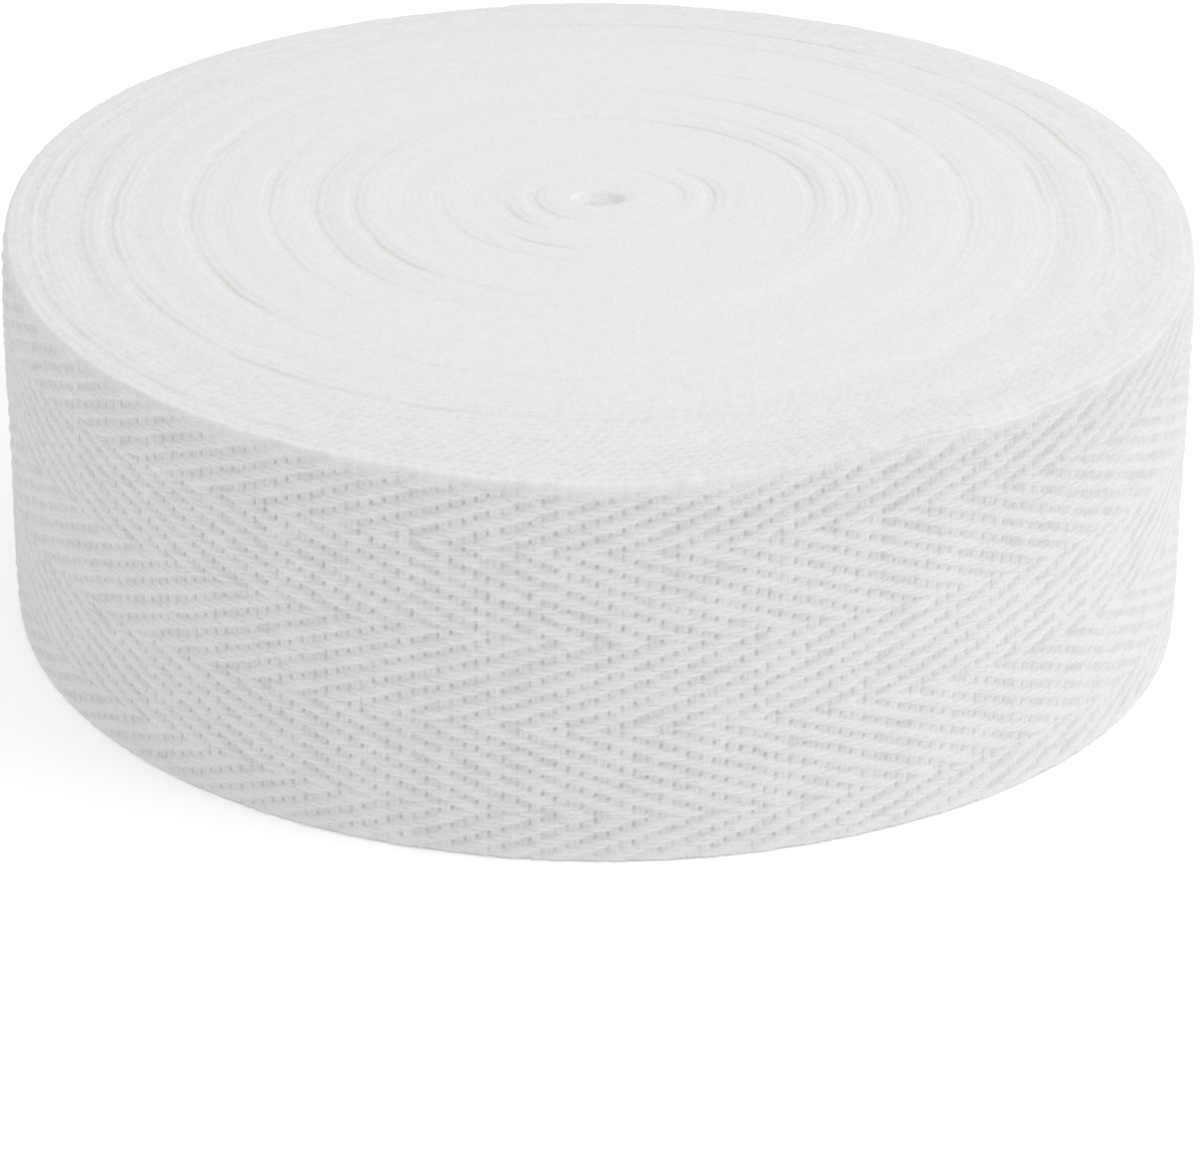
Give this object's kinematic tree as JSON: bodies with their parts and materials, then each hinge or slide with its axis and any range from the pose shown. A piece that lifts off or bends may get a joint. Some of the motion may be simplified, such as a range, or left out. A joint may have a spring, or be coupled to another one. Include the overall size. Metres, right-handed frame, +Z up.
{
  "type": "roll of herringbone twill tape",
  "caption": "A length of plain white herringbone cotton tape wound tightly on itself into a flat round roll, standing on its selvedges, with a small eye at its middle.",
  "frame": {"origin": "middle of the roll's footprint, on the surface that it stands on", "axes": "+Z up along the winding axis, across the width of the tape; -Y is the front seen in the picture, with +X to its right; the tape's cut end lies at the back, towards +Y"},
  "size_m": [0.076, 0.0764, 0.0269],
  "materials": {
    "cotton_tape": "soft matt bleached cotton in a herringbone twill weave, with fuzzy selvedges"
  },
  "bodies": {
    "root": {"wound_tape": "cotton_tape"}
  },
  "joints": []
}
